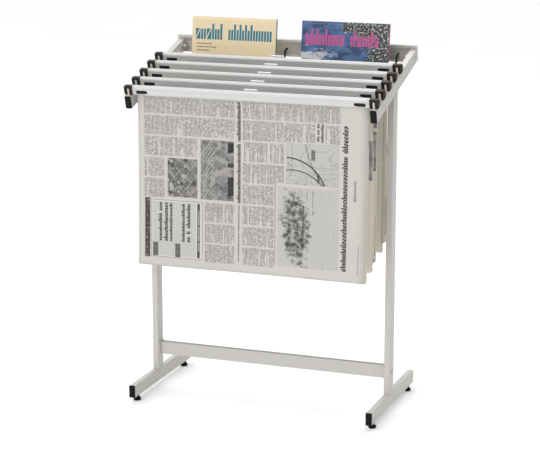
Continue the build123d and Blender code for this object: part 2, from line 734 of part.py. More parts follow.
make_frame()
for holder in range(HOLDERS):
    make_holder(holder)
for (side_name, _), magazine_x in zip(SIDES, MAGAZINE_X):
    make_cradle(side_name, magazine_x)
    make_magazine(side_name, magazine_x)
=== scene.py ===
import json
import math
import random

import bpy
from mathutils import Matrix, Vector


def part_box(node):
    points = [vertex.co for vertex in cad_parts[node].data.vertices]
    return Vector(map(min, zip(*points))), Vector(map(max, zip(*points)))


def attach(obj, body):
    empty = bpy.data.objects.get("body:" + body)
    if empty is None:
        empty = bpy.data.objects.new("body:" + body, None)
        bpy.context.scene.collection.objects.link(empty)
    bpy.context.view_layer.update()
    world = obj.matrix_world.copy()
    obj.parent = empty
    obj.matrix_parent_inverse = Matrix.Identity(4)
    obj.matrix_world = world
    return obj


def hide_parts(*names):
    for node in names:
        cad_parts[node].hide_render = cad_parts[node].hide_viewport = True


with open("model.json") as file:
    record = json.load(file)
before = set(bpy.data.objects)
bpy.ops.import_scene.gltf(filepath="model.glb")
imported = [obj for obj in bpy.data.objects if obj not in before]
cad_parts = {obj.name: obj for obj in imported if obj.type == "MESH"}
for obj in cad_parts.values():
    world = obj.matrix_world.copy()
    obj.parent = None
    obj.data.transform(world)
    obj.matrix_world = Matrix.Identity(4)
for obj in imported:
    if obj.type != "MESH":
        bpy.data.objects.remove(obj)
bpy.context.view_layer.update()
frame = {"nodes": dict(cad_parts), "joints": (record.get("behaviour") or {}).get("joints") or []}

# Everything is in metres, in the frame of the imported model: +X right, +Y rear, +Z up.
# ================================================================ sizes
HOLDERS = range(1, 6)

GRIP = 0.0102  # length of a newspaper's fold inside the clamp
LEAVES = 8
LEAF_T = 0.0002
LEAF_PITCH = 0.00031  # leaves pressed together in the clamp
LEAF_ROWS = 60
LEFT_COLUMNS = 13  # of mesh, in the left part of a leaf
RIGHT_COLUMNS = 15
LEAF_COLUMNS = LEFT_COLUMNS + RIGHT_COLUMNS
LEFT_PAGE, RIGHT_PAGE, INNER_PAGE = range(3)  # a newspaper's material slots
STRAIGHTEN = 0.016  # how soon a leaf leaves the clamp's slope and hangs plumb
SPREAD = math.radians(1.5)  # angle between the first and the last leaf
SPREAD_FRONT = math.radians(0.25)  # part of it in front of plumb
CURL = math.radians(5.0)  # free edges curl forward
CURL_POWER = 7
RIPPLE = 0.0016
RIPPLES = 1.3  # across a leaf
DRAPE = 1.0016  # a leaf's length over its drop
RAGGED = 0.0016  # how unevenly the leaves' free edges end
SHIFT = {1: 0.0014}  # sideways in the clamp
SWAY = {1: -0.003, 2: 0.0018, 3: -0.0015, 4: 0.0008, 5: -0.001}  # hem to one side

COVER_T = 0.0003
COVER_COLUMNS = 36  # of mesh, across the front of a cover
COVER_ROWS = 40
COVER_BOW = 0.0016  # of the whole free edge
COVER_SPLAY = 0.0012  # more of it at the top corner
COVER_CREASE = 0.006  # hinge crease, from the spine
COVER_CREASE_DEPTH = 0.0003
COVER_CREASE_WIDTH = 0.0016
SPINE_ROUND = 0.0004
PAGES_INSET = 0.0006  # pages end this far inside the cover
PAGES_GAP = 0.0002  # between the pages and the cover
PAGES_SHEETS = 24  # of mesh, through the page block
PAGES_UNEVEN = 0.0004

PAGE_W = 0.546
LEFT_PART = 0.252 / PAGE_W  # share of the front page that is printed as its left part
MARGIN = 0.013
LINE_PITCH = 0.0031  # printed lines
TEXT_STRENGTH = 0.92  # of the ink in them
COLUMN_PITCH = 0.0484  # printed columns, which hang one under another
FIRST_COLUMN = -0.0036
INNER_BAND = 0.186  # an inner page's headlines stand this far apart
INNER_MARK = 0.0085  # pitch of their marks
FRAME_LINE = 0.0006
# Boxes on the front page: left, right, top, bottom.
STREET = (0.153, 0.233, 0.096, 0.233)
ROOFS = (0.072, 0.145, 0.143, 0.232)
NOTICES = (0.032, 0.158, 0.241, 0.375)
MAP = (0.358, 0.48, 0.091, 0.183)
DRAWING = (0.338, 0.482, 0.19, 0.372)
DRAWING_EDGE = (0.3315, 0.3335, 0.178, 0.37)
LEFT_TEXT = (0.014, 0.236, 0.004, 0.378)
LEFT_CLEAR = (
    (0.146, 0.236, 0.09, 0.236),
    (0.064, 0.148, 0.138, 0.236),
    (0.008, 0.164, 0.236, 0.38),
)
RIGHT_TEXT = (0.254, 0.482, 0.004, 0.378)
RIGHT_CLEAR = (
    (0.352, 0.484, 0.088, 0.186),
    (0.33, 0.49, 0.182, 0.38),
    (0.424, 0.448, 0.042, 0.088),
)
PORCHES = ((0.004, 0.026), (0.05, 0.06))  # dark parts of the street, from its top
MAP_ROADS = (  # centre in shares of the panel, radius, half width
    ((0.0, 1.42), 0.098, 0.0014),
    ((0.12, 1.62), 0.089, 0.0011),
    ((1.9, -0.35), 0.19, 0.0007),
)
MAP_TAGS = ((0.058, 0.012, 0.009, 0.024), (0.072, 0.066, 0.006, 0.02))  # across, down, size
NOTICE_LINES = (  # from the panel's left edge, width, pitch of the marks
    (0.017, 0.0095, 0.0058),
    (0.0305, 0.0105, 0.0072),
    (0.0435, 0.0085, 0.0068),
    (0.074, 0.0085, 0.0058),
    (0.0855, 0.0105, 0.0066),
)
NOTICE_RULE = 0.001  # thickness of the line round the panel
NOTICE_HEAD = 0.006  # from the panel's top to the marks
NOTICE_FOOT = 0.038
NOTICE_TINTS = (0.004, 0.059)  # tinted boxes, from the panel's left edge
NOTICE_TINT_W = 0.013

VIEW_AZIMUTH = math.radians(20.1)
VIEW_ELEVATION = math.radians(13.0)
VIEW_AIM = Vector((-0.0081, 0.0, 0.4141))
VIEW_DISTANCE = 4.2326
LENS = 121.1  # millimetres, as is the sensor's width
SENSOR_W = 36.0
VIEW_REACH = 60.0
FLOOR_REACH = 12.0

SKY_LEVEL = 0.36  # brightness of the surroundings at the horizon
SKY_RISE = 1.02  # more of it overhead
SKY_LEAN = 0.42  # more on the left, less on the right
LAMPS = (  # name, where it stands, where it points, size, watts
    ("key", (-2.2, -3.2, 3.0), (0, 0, 0.4), 2.4, 12.0),
    ("fill", (-0.1, -4.2, 2.7), (0, 0, 0.5), 1.8, 56.0),
    ("top", (0.2, 1.7, 3.1), (0, 0, 0.6), 2.2, 30.0),
)


# ================================================================ node helpers
class Value:
    """What a node gives out; arithmetic and comparisons on it make further nodes."""

    def __init__(self, tree, socket):
        self.tree = tree
        self.socket = socket

    def math(self, operation, *others):
        return node(self.tree, "ShaderNodeMath", [self, *others], operation=operation)

    def __add__(self, other):
        return self.math("ADD", other)

    def __sub__(self, other):
        return self.math("SUBTRACT", other)

    def __mul__(self, other):
        return self.math("MULTIPLY", other)

    def __truediv__(self, other):
        return self.math("DIVIDE", other)

    def __gt__(self, other):
        return self.math("GREATER_THAN", other)

    def __lt__(self, other):
        return self.math("LESS_THAN", other)

    def __or__(self, other):
        return self.math("MAXIMUM", other)

    def __invert__(self):
        return self * -1.0 + 1.0

    def __abs__(self):
        return self.math("ABSOLUTE")

    def floor(self):
        return self.math("FLOOR")

    def fraction(self):
        return self.math("FRACT")

    def root(self):
        return self.math("SQRT")

    def between(self, low, high):
        return (self > low) * (self < high)

    def smooth(self, low, high):
        """0 below low, 1 above high, and a soft step between them."""
        settings = {"data_type": "FLOAT", "interpolation_type": "SMOOTHSTEP"}
        inputs = {0: self, 1: low, 2: high, 3: 0.0, 4: 1.0}
        return node(self.tree, "ShaderNodeMapRange", inputs, **settings)


def node(tree, kind, inputs=(), output=0, **settings):
    """Adds a node; inputs that are Values are linked, and the others are set."""
    made = tree.nodes.new(kind)
    for name, value in settings.items():
        setattr(made, name, value)
    pairs = inputs.items() if isinstance(inputs, dict) else enumerate(inputs)
    for key, value in pairs:
        if isinstance(value, Value):
            tree.links.new(value.socket, made.inputs[key])
        else:
            made.inputs[key].default_value = value
    return Value(tree, made.outputs[output])


class Finish:
    """A material, its node tree and the nodes that most finishes need."""

    def __init__(self, name, **constants):
        self.material = bpy.data.materials.new(name)
        self.material.use_nodes = True
        self.tree = self.material.node_tree
        self.shader = self.tree.nodes["Principled BSDF"]
        for socket, value in constants.items():
            self.shader.inputs[socket.replace("_", " ")].default_value = value

    def link(self, socket, value):
        self.tree.links.new(value.socket, self.shader.inputs[socket])

    def add(self, kind, inputs=(), output=0, **settings):
        return node(self.tree, kind, inputs, output, **settings)

    def place(self):
        return self.add("ShaderNodeTexCoord", output=3)

    def page(self):
        """Place on a sheet, in metres: across it, and along it."""
        where = self.add("ShaderNodeUVMap", uv_map="sheet")
        return self.split(where)[:2]

    def split(self, vector):
        across = self.add("ShaderNodeSeparateXYZ", [vector])
        sockets = across.socket.node.outputs
        return [Value(self.tree, socket) for socket in sockets]

    def join(self, x, y, z=0.0):
        return self.add("ShaderNodeCombineXYZ", [x, y, z])

    def scaled(self, vector, *factors):
        return self.add("ShaderNodeVectorMath", [vector, factors], operation="MULTIPLY")

    def noise(self, vector, scale, detail=2.0, roughness=0.5, distortion=0.0):
        inputs = {"Vector": vector, "Scale": scale, "Detail": detail}
        inputs["Roughness"] = roughness
        inputs["Distortion"] = distortion
        return self.add("ShaderNodeTexNoise", inputs)

    def cells(self, vector, scale, output=0, feature="F1"):
        inputs = {"Vector": vector, "Scale": scale}
        return self.add("ShaderNodeTexVoronoi", inputs, output, feature=feature)

    def chance(self, x, y, seed=0.0):
        """One even random number for each whole x and y."""
        return self.add("ShaderNodeTexWhiteNoise", [self.join(x, y, seed)])

    def mix(self, share, a, b):
        inputs = {0: share, 6: a, 7: b}
        return self.add("ShaderNodeMix", inputs, output=2, data_type="RGBA")

    def grey(self, value, tint=(1.0, 1.0, 1.0)):
        """A colour whose brightness is value."""
        parts = [value * part for part in tint]
        return self.add("ShaderNodeCombineColor", parts)

    def bump(self, height, strength, distance):
        inputs = {"Strength": strength, "Distance": distance, "Height": height}
        return self.add("ShaderNodeBump", inputs)

    def edges(self, radius):
        """1 on sharp edges and 0 on flat faces."""
        soft = self.add("ShaderNodeBevel", [radius])
        true = self.add("ShaderNodeNewGeometry", output=1)
        inputs = [soft, true]
        facing = self.add(
            "ShaderNodeVectorMath", inputs, output=1, operation="DOT_PRODUCT"
        )
        return (~facing * 9.0).math("MINIMUM", 1.0)


def rgb(red, green, blue):
    """A colour given as on screen, 0 to 255, for a node's socket."""
    screen = [part / 255 for part in (red, green, blue)]
    linear = [p / 12.92 if p <= 0.04045 else ((p + 0.055) / 1.055) ** 2.4 for p in screen]
    return (*linear, 1.0)


PALE = rgb(184, 181, 175)
PANEL = rgb(180, 178, 173)
INK = rgb(38, 37, 38)
GREY_INK = rgb(120, 118, 116)
HALFTONE = (1.0, 0.98, 0.95)  # tint of the printed pictures

MOULDINGS = (  # slot, its darkest and palest colour, roughness
    ("dark_plastic", (rgb(26, 24, 21), rgb(40, 37, 33)), 0.46),
    ("black_plastic", (rgb(1, 1, 1), rgb(4, 4, 4)), 0.6),
    ("peg_nylon", (rgb(196, 182, 168), rgb(214, 202, 190)), 0.4),
    ("white_plastic", (rgb(228, 228, 226), rgb(238, 238, 236)), 0.4),
)

# Headlines: left, right, top, bottom, pitch of the marks, ink, seed.
LEFT_HEADLINES = (
    (0.2395, 0.2495, 0.006, 0.236, 0.0056, INK, 3.0),
    (0.243, 0.247, 0.24, 0.372, 0.0026, rgb(84, 82, 80), 7.0),
)
RIGHT_HEADLINES = (
    (0.487, 0.501, 0.046, 0.372, 0.0076, INK, 12.0),
    (0.5135, 0.5215, 0.166, 0.214, 0.0052, rgb(128, 127, 125), 15.0),
    (0.527, 0.5295, 0.312, 0.378, 0.0017, GREY_INK, 17.0),
    (0.427, 0.4345, 0.044, 0.084, 0.0036, INK, 23.0),
    (0.4365, 0.444, 0.044, 0.086, 0.0036, INK, 27.0),
)

# Covers' lines of marks: left, right, low, high, pitch, ink, seed.
LEFT_COVER_LINES = (
    (0.008, 0.2, 0.243, 0.2815, 0.0137, rgb(0, 112, 132), 46.0),
    (0.012, 0.05, 0.2325, 0.236, 0.003, rgb(96, 84, 66), 43.0),
    (0.012, 0.062, 0.2245, 0.228, 0.003, rgb(84, 74, 60), 44.0),
    (0.012, 0.045, 0.2165, 0.22, 0.003, rgb(84, 74, 60), 45.0),
    (0.012, 0.068, 0.1985, 0.2095, 0.0094, rgb(14, 12, 10), 47.0),
)
RIGHT_COVER_TITLE = (0.008, 0.2, 0.2415, 0.2795, 0.0137, rgb(178, 74, 134), 63.0)
COVER_PANEL = (0.012, 0.198, 0.02, 0.18)
COVER_SHAPES = (  # in the panel: above this noise, colour, strength
    (0.5, rgb(196, 172, 128), 0.6),
    (0.56, rgb(116, 150, 142), 0.7),
    (0.62, rgb(58, 104, 112), 0.8),
)
SPINE = (0.2098, 0.2168)  # along the cover, round its edge


# ================================================================ frame finishes
def frame_paint():
    """Satin powder coat: fine orange peel, faint tone changes, dust low down, worn edges."""
    finish = Finish("satin_powder_coat", IOR=1.5, Coat_Weight=0.12, Coat_Roughness=0.3)
    place = finish.place()
    tone = finish.noise(place, 7.0, detail=4.0, roughness=0.6)
    colour = finish.mix(tone, rgb(185, 183, 178), rgb(193, 190, 186))
    height = finish.split(place)[2]
    dust = (~(height / 0.09)).math("MAXIMUM", 0.0) * finish.noise(place, 60.0, 3.0)
    colour = finish.mix(dust * 0.35, colour, rgb(168, 163, 154))
    scuffs = finish.noise(finish.scaled(place, 40.0, 40.0, 260.0), 1.0, 5.0).smooth(0.66, 0.8)
    colour = finish.mix(scuffs * 0.16, colour, rgb(146, 143, 138))
    worn = finish.edges(0.0006) * finish.noise(place, 130.0, 3.0).smooth(0.5, 0.7)
    finish.link("Base Color", finish.mix(worn * 0.45, colour, rgb(232, 231, 229)))
    finish.link("Roughness", finish.noise(place, 90.0, 3.0) * 0.16 + 0.33)
    peel = finish.noise(place, 1500.0, detail=1.0)
    finish.link("Normal", finish.bump(peel, 0.06, 0.0002))
    return finish.material


def aluminium():
    """Satin anodised extrusion: die lines and brushing along X, small scratches."""
    finish = Finish("satin_anodised_aluminium", Metallic=0.25)
    place = finish.place()
    lines = finish.noise(finish.scaled(place, 1.2, 900.0, 900.0), 1.0, 4.0, 0.7)
    tone = finish.noise(finish.scaled(place, 3.0, 50.0, 50.0), 1.0, 2.0)
    base = finish.mix(lines, rgb(192, 192, 191), rgb(208, 207, 206))
    base = finish.mix(tone * 0.25, base, rgb(184, 186, 188))
    scratches = finish.noise(finish.scaled(place, 30.0, 700.0, 350.0), 1.0, 3.0)
    base = finish.mix(scratches.smooth(0.68, 0.74) * 0.3, base, rgb(172, 173, 176))
    finish.link("Base Color", base)
    finish.link("Roughness", lines * 0.14 + tone * 0.08 + 0.22)
    finish.link("Normal", finish.bump(lines, 0.12, 0.00015))
    return finish.material


def moulded_plastic(name, dark, light, roughness):
    """Textured moulded plastic, a little paler where its edges have been rubbed."""
    finish = Finish(name, IOR=1.49, Specular_IOR_Level=0.22)
    place = finish.place()
    mottle = finish.noise(place, 160.0, 3.0)
    colour = finish.mix(mottle, dark, light)
    rubbed = finish.edges(0.0005) * finish.noise(place, 300.0, 2.0).smooth(0.4, 0.65)
    pale = tuple(part * 2.2 + 0.03 for part in light[:3]) + (1.0,)
    finish.link("Base Color", finish.mix(rubbed * 0.3, colour, pale))
    finish.link("Roughness", finish.noise(place, 500.0, 2.0) * 0.18 + (roughness - 0.09))
    pits = finish.cells(place, 2200.0)
    finish.link("Normal", finish.bump(pits, 0.25, 0.00006))
    return finish.material


def zinc():
    """Bright zinc plate: crystalline spangle and turned marks."""
    finish = Finish("zinc_plate", Metallic=1.0)
    place = finish.place()
    spangle = finish.cells(place, 700.0, output=1)
    base = finish.mix(0.12, rgb(196, 197, 196), spangle)
    stain = finish.noise(place, 220.0, 3.0).smooth(0.5, 0.8)
    finish.link("Base Color", finish.mix(stain * 0.4, base, rgb(158, 154, 146)))
    finish.link("Roughness", finish.noise(place, 400.0, 2.0) * 0.2 + 0.24)
    finish.link("Normal", finish.bump(finish.noise(place, 1500.0, 2.0), 0.1, 0.0001))
    return finish.material


def black_wire():
    """Steel wire with a thick satin black coat."""
    finish = Finish("coated_wire", IOR=1.5)
    place = finish.place()
    tone = finish.noise(place, 90.0, 3.0)
    finish.link("Base Color", finish.mix(tone, rgb(3, 3, 3), rgb(8, 8, 8)))
    finish.link("Roughness", finish.noise(place, 240.0, 2.0) * 0.2 + 0.28)
    finish.link("Normal", finish.bump(finish.noise(place, 900.0, 2.0), 0.2, 0.0002))
    return finish.material


# ================================================================ print
class Press:
    """Draws print on a sheet in nodes: marks that stand for text, and blocks."""

    def __init__(self, finish, across, along, paper):
        self.finish = finish
        self.across = across
        self.along = along
        self.paper = paper

    def box(self, left, right, top, bottom):
        return self.across.between(left, right) * self.along.between(top, bottom)

    def shade(self, mask, colour, strength=1.0):
        share = mask if strength == 1.0 else mask * strength
        self.paper = self.finish.mix(share, self.paper, colour)

    def text(self, mask, pitch=LINE_PITCH, seed=0.0):
        """Columns of small text: lines run along the sheet, broken into words."""
        finish = self.finish
        line = (self.across / pitch).floor()
        place = (self.along - FIRST_COLUMN) / COLUMN_PITCH
        column = place.floor()
        within = place.fraction()
        stroke = (self.across / pitch).fraction().between(0.14, 0.66)
        where = finish.join(self.along * 420.0, line * 7.31 + seed, column * 3.7)
        words = finish.noise(where, 1.0, 1.0) > 0.43
        fine = finish.join(self.along * 1500.0, self.across * 1900.0, seed)
        letters = finish.noise(fine, 1.0, 0.0) > 0.4
        short = finish.chance(line, column, seed) > 0.84
        end = finish.chance(line, column, seed + 5.0) * 0.8
        shortened = short * (within > end)
        inside = within.between(0.035, 0.945)
        marks = stroke * words * letters * inside * ~shortened
        self.shade(marks * mask, INK, TEXT_STRENGTH)

    def headline(self, left, right, top, bottom, pitch, colour, seed=0.0):
        """Large generic marks that fill a strip, running down the sheet."""
        place = self.along / pitch
        cell = place.floor()
        x = place.fraction()
        y = (self.across * -1.0 + right) / (right - left)
        marks = self.marks(x, y, cell, seed)
        self.shade(marks * self.box(left, right, top, bottom), colour)

    def title(self, left, right, low, high, pitch, colour, seed=0.0):
        """Large generic marks that fill a band, running across the sheet."""
        place = (self.across - left) / pitch
        y = (self.along - low) / (high - low)
        marks = self.marks(place.fraction(), y, place.floor(), seed)
        self.shade(marks * self.box(left, right, low, high), colour)

    def marks(self, x, y, cell, seed):
        """Bar pairs and cut blocks, one to a cell, with a gap now and then."""
        finish = self.finish
        kind = finish.chance(cell, seed + 0.5)
        tall = finish.chance(cell, seed + 9.5)
        bar = x.between(0.04, 0.42) * y.between(0.02, (tall > 0.6) * 0.33 + 0.65)
        second = x.between(0.54, 0.92) * y.between(0.02, (tall < 0.25) * 0.33 + 0.65)
        cut = abs(x * 0.8 - y + (tall * 0.3 - 0.15)) > 0.07
        block = x.between(0.06, 0.92) * y.between(0.02, 0.68) * cut
        return ((bar | second) * (kind < 0.6)) | (block * kind.between(0.6, 0.96))


def paper_surface(finish, dark, light):
    """Newsprint's tone, between the two colours given, and its fibres."""
    place = finish.place()
    cloud = finish.noise(place, 9.0, 3.0)
    tone = finish.mix(cloud, dark, light)
    fibres = finish.noise(finish.scaled(place, 900.0, 900.0, 260.0), 1.0, 3.0)
    tone = finish.mix(fibres.smooth(0.45, 0.8) * 0.16, tone, rgb(176, 170, 158))
    finish.link("Roughness", fibres * 0.1 + 0.82)
    waves = finish.noise(place, 14.0, 2.0) * 6.0 + fibres
    finish.link("Normal", finish.bump(waves, 0.22, 0.0005))
    return tone


def press_for(finish, dark, light):
    across, along = finish.page()
    return Press(finish, across, along, paper_surface(finish, dark, light))


def picture_street(press, left, right, top, bottom):
    """A grey halftone view: a striped kerb, a pale avenue between trees and dark porches."""
    finish = press.finish
    box = press.box(left, right, top, bottom)
    where = finish.join(press.across, press.along)
    share = (press.across - left) / (right - left)
    soft = finish.noise(where, 60.0, 4.0, 0.65, 0.8)
    press.shade(box, finish.grey((soft * 0.72 - 0.15).math("MAXIMUM", 0.02), HALFTONE))
    slant = ((press.across * 1.4 + press.along) * 84.0).fraction()
    press.shade(box * slant.between(0.0, 0.16) * (share < 0.42), PALE, 0.7)
    spots = finish.cells(where, 260.0) < 0.32
    press.shade(box * spots * share.between(0.22, 0.44), PALE, 0.75)
    fork = abs(abs(press.along - (top + 0.058)) - (~share * 0.035)) < 0.006
    press.shade(box * fork * (share > 0.44), rgb(158, 155, 149), 0.75)
    porch = press.along.between(top + 0.082, bottom - 0.012)
    for start, end in PORCHES:
        porch = porch | press.along.between(top + start, top + end)
    press.shade(box * porch * share.between(0.82, 1.0), rgb(34, 32, 31), 0.85)


def picture_roofs(press, left, right, top, bottom):
    """A grey halftone view from above: plots, slanted roads and round roofs."""
    finish = press.finish
    box = press.box(left, right, top, bottom)
    where = finish.join(press.across, press.along)
    plots = finish.split(finish.cells(where, 105.0, output=1))[0]
    fine = finish.noise(where, 240.0, 3.0)
    press.shade(box, finish.grey(plots * 0.13 + fine * 0.2 + 0.02, HALFTONE))
    road = (press.across + press.along * 0.8) * 42.0
    cross = (press.across - press.along * 1.1) * 34.0
    roads = road.fraction().between(0.0, 0.07) | cross.fraction().between(0.0, 0.06)
    press.shade(box * roads, rgb(172, 169, 163), 0.75)
    discs = finish.cells(where, 62.0)
    west = press.across < left + 0.62 * (right - left)
    press.shade(box * (discs < 0.36) * west, rgb(168, 165, 159), 0.8)
    press.shade(box * discs.between(0.36, 0.44) * west, INK, 0.7)
    shadow = finish.noise(where, 48.0, 2.0) > 0.61
    press.shade(box * shadow, rgb(52, 50, 48), 0.75)


def picture_map(press, left, right, top, bottom):
    """A pale sketch map: contour lines, faint blocks, heavy roads and two tags."""
    finish = press.finish
    box = press.box(left, right, top, bottom)
    where = finish.join(press.across, press.along)
    press.shade(box, PANEL)
    low = finish.noise(where, 14.0, 0.0)
    thin = abs((low * 11.0).fraction() - 0.5) < 0.04
    press.shade(box * thin, rgb(120, 119, 117), 0.6)
    edges = finish.cells(where, 60.0, feature="DISTANCE_TO_EDGE") < 0.018
    press.shade(box * edges * (press.along > top + 0.04), rgb(104, 103, 101), 0.6)
    for centre, radius, width in MAP_ROADS:
        dx = press.across - (left + centre[0] * (right - left))
        dy = press.along - (top + centre[1] * (bottom - top))
        ring = (dx * dx + dy * dy).root() - radius
        press.shade(box * (abs(ring) < width), INK, 0.95)
    for across, down, width, length in MAP_TAGS:
        tag = press.box(left + across, left + across + width, top + down, top + down + length)
        press.shade(tag * (finish.noise(where, 700.0, 1.0) < 0.56), INK, 0.9)
    rim = press.box(left + FRAME_LINE, right - FRAME_LINE, top + FRAME_LINE, bottom - FRAME_LINE)
    press.shade(box * ~rim, rgb(110, 109, 107), 0.6)


def picture_drawing(press, left, right, top, bottom):
    """A pale panel with a long drawing of foliage in short dark strokes."""
    finish = press.finish
    box = press.box(left, right, top, bottom)
    where = finish.join(press.across, press.along)
    press.shade(box, PANEL)
    bulge = finish.noise(where, 40.0, 5.0, 0.62) - 0.5
    dx = (press.across - (left + 0.038) - (press.along - top) * 0.06) / 0.034 + bulge * 1.9
    dy = (press.along - (top + 0.5 * (bottom - top))) / 0.092 + bulge * 0.6
    density = ~(dx * dx + dy * dy)
    leaves = finish.noise(where, 620.0, 3.0, 0.8)
    clusters = finish.noise(where, 95.0, 2.0)
    drawn = (leaves + clusters * 0.55 + density.math("MINIMUM", 0.6) * 0.22) > 0.88
    press.shade(box * drawn * (density > -0.15), rgb(34, 33, 32), 0.9)
    east = press.box(left + 0.058, left + 0.063, top + 0.04, bottom - 0.04)
    press.shade(east * (leaves > 0.45), INK, 0.8)
    wash = finish.noise(finish.join(press.across * 260.0, press.along * 12.0), 1.0, 2.0) > 0.62
    press.shade(box * wash * (press.across > left + 0.08), rgb(160, 160, 158), 0.5)
    captions = press.box(left + 0.066, left + 0.071, top + 0.006, top + 0.03)
    captions = captions | press.box(left + 0.082, left + 0.087, top + 0.006, top + 0.062)
    press.text(captions, pitch=0.0024, seed=3.0)


def picture_notices(press, left, right, top, bottom):
    """A framed panel of small notices made of bars, marks and tinted boxes."""
    finish = press.finish
    where = finish.join(press.across, press.along)
    rule = NOTICE_RULE
    outside = press.box(left, right, top, bottom)
    inside = press.box(left + rule, right - rule, top + rule, bottom - rule)
    press.shade(outside, rgb(196, 195, 190))
    press.shade(outside * ~inside, rgb(96, 94, 92), 0.9)
    band = press.box(left - 0.016, left - 0.003, top - 0.003, bottom + 0.002)
    press.shade(band, rgb(58, 55, 54), 0.95)
    press.shade(band * (finish.noise(where, 170.0, 3.0) > 0.6), rgb(150, 146, 140), 0.7)
    faint = finish.noise(finish.join(press.along * 700.0, press.across * 900.0), 1.0, 1.0) > 0.52
    small = press.box(left + 0.003, right - 0.016, top + 0.004, bottom - 0.004)
    press.shade(small * faint, INK, 0.4)
    head, foot = top + NOTICE_HEAD, bottom - NOTICE_FOOT
    for index, (start, width, pitch) in enumerate(NOTICE_LINES):
        low = left + start
        high = low + width
        press.shade(press.box(low - rule, high + rule, head, foot), rgb(186, 184, 180))
        press.headline(low, high, head, foot, pitch, INK, 20.0 + index)
    heavy = press.box(right - 0.013, right - 0.0065, top + 0.004, bottom - 0.004)
    press.shade(heavy, INK, 0.9)
    press.headline(right - 0.0117, right - 0.0078, top + 0.02, bottom - 0.02, 0.0042, PALE, 29.0)
    for start in NOTICE_TINTS:
        edge = left + start
        tint = press.box(edge, edge + NOTICE_TINT_W, bottom - 0.034, bottom - 0.002)
        press.shade(tint, rgb(98, 96, 93), 0.85)
        press.text(tint, pitch=0.0026, seed=start)


def front_sheet(name):
    finish = Finish(name, Specular_IOR_Level=0.25)
    return finish, press_for(finish, rgb(187, 184, 178), rgb(195, 192, 187))


def boxes(press, places):
    """Mask of several boxes together."""
    mask = press.box(*places[0])
    for place in places[1:]:
        mask = mask | press.box(*place)
    return mask


def front_page_left():
    """Left part of the page in front: text, two halftone pictures and a panel of notices."""
    finish, press = front_sheet("printed_front_page_left")
    clear = boxes(press, LEFT_CLEAR)
    press.text(press.box(*LEFT_TEXT) * ~clear)
    picture_street(press, *STREET)
    picture_roofs(press, *ROOFS)
    picture_notices(press, *NOTICES)
    for headline in LEFT_HEADLINES:
        press.headline(*headline)
    finish.link("Base Color", press.paper)
    return finish.material


def front_page_right():
    """Right part of the page in front: text, a map, a drawing and the main headline."""
    finish, press = front_sheet("printed_front_page_right")
    clear = boxes(press, RIGHT_CLEAR)
    press.text(press.box(*RIGHT_TEXT) * ~clear)
    picture_map(press, *MAP)
    picture_drawing(press, *DRAWING)
    for headline in RIGHT_HEADLINES:
        press.headline(*headline)
    press.shade(press.box(*DRAWING_EDGE), GREY_INK, 0.7)
    finish.link("Base Color", press.paper)
    return finish.material


def inner_page():
    """Any other page: text columns, a headline every third of the sheet, small pictures."""
    finish = Finish("printed_inner_page", Specular_IOR_Level=0.25)
    # Painted light: this paper is painted paler and creamier than the front page's newsprint. It is
    # a painted highlight, so that the rear papers, which hang in shade behind the front one, look
    # lit.
    press = press_for(finish, rgb(226, 219, 204), rgb(234, 228, 214))
    sheet = (press.across / (3.0 * PAGE_W)).fraction() * (3.0 * PAGE_W)
    third = press.across / INNER_BAND
    within = third.fraction()
    band = third.floor()
    column = ((press.along - FIRST_COLUMN) / COLUMN_PITCH).floor()
    body = within.between(0.16, 0.97) * sheet.between(MARGIN, PAGE_W - MARGIN)
    pictured = finish.chance(band, (column / 2.0).floor(), 4.0) < 0.3
    place = ((press.along - FIRST_COLUMN) / (2.0 * COLUMN_PITCH)).fraction()
    picture = pictured * within.between(0.3, 0.94) * place.between(0.03, 0.95)
    press.text(body * ~picture * ~(pictured * within.between(0.26, 0.98)))
    where = finish.join(press.across, press.along)
    grey = finish.noise(where, 46.0, 5.0, 0.62, 0.6) * 0.95 - 0.12
    press.shade(picture, finish.grey(grey.math("MAXIMUM", 0.04), (1.0, 0.98, 0.96)))
    cell = press.along / INNER_MARK
    marks = press.marks(cell.fraction(), within * -9.0 + 1.2, cell.floor(), 31.0)
    press.shade(marks * within.between(0.022, 0.133), INK, 0.9)
    finish.link("Base Color", press.paper)
    return finish.material


def left_cover():
    """Cream magazine cover: teal title marks and a few dark lines under them."""
    finish = Finish("left_magazine_cover", Coat_Weight=0.1, Coat_Roughness=0.3)
    across, up = finish.page()
    where = finish.join(across, up)
    cloud = finish.noise(where, 9.0, 3.0)
    press = Press(finish, across, up, finish.mix(cloud, rgb(218, 198, 158), rgb(230, 213, 178)))
    for line in LEFT_COVER_LINES:
        press.title(*line)
    panel = press.box(*COVER_PANEL)
    shapes = finish.noise(where, 17.0, 1.0, 0.4)
    for level, colour, strength in COVER_SHAPES:
        press.shade(panel * (shapes > level), colour, strength)
    press.shade(across.between(*SPINE), rgb(36, 116, 136))
    scuff = finish.noise(where, 300.0, 4.0).smooth(0.62, 0.75)
    press.shade(scuff, rgb(244, 238, 224), 0.12)
    finish.link("Base Color", press.paper)
    finish.link("Roughness", finish.noise(where, 40.0, 3.0) * 0.12 + 0.3)
    finish.link("Normal", finish.bump(finish.noise(where, 60.0, 2.0), 0.1, 0.0004))
    return finish.material


